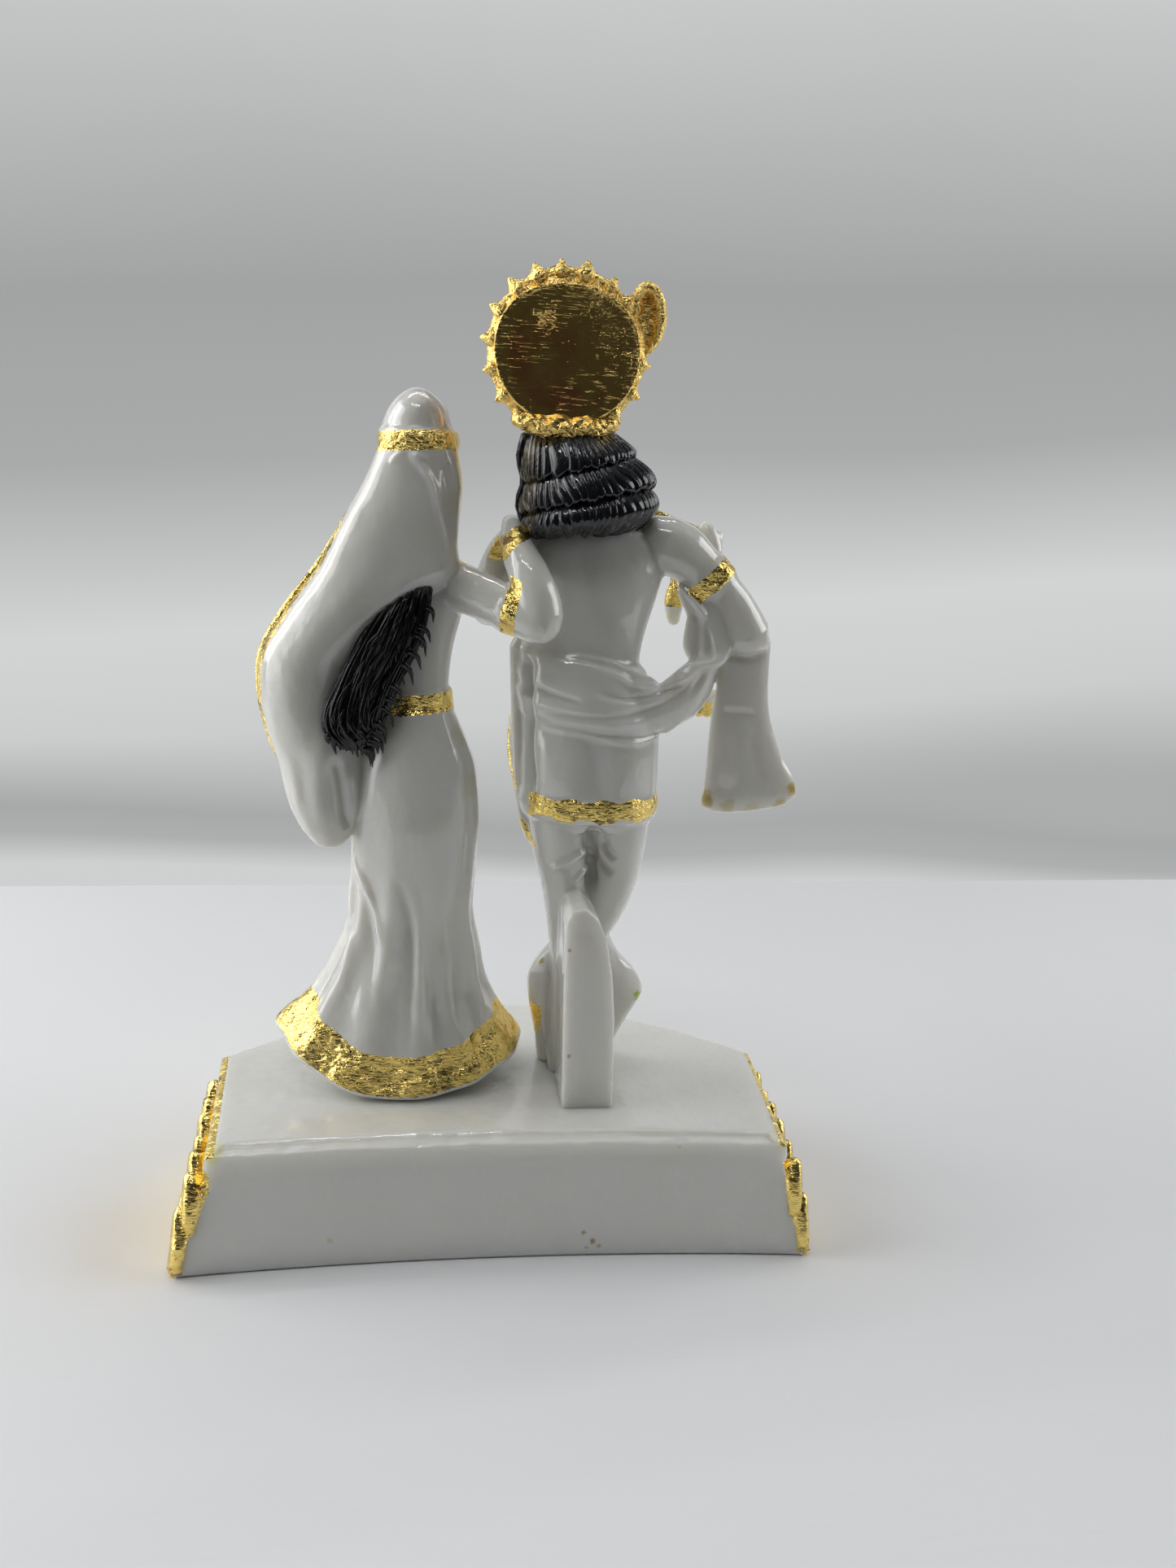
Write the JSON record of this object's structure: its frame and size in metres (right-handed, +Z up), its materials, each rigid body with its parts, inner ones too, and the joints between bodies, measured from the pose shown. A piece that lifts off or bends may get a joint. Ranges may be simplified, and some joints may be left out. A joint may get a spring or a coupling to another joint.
{
  "type": "radha krishna statue",
  "caption": "White cast figurine of Radha and Krishna standing together on a low bow-fronted plinth, trimmed with gold leaf and black paint.",
  "frame": {"origin": "on the table, under the middle of the plinth's overall box", "axes": "+Z up; the figures face -Y, so their backs are towards +Y; Krishna stands on the -X side and Radha on the +X side"},
  "size_m": [0.1384, 0.0757, 0.2052],
  "materials": {
    "white_cast": "white cast of resin and marble dust under clear gloss lacquer, with gold leaf and black gloss paint laid on it"
  },
  "bodies": {
    "root": {"statue": "white_cast"}
  },
  "joints": []
}
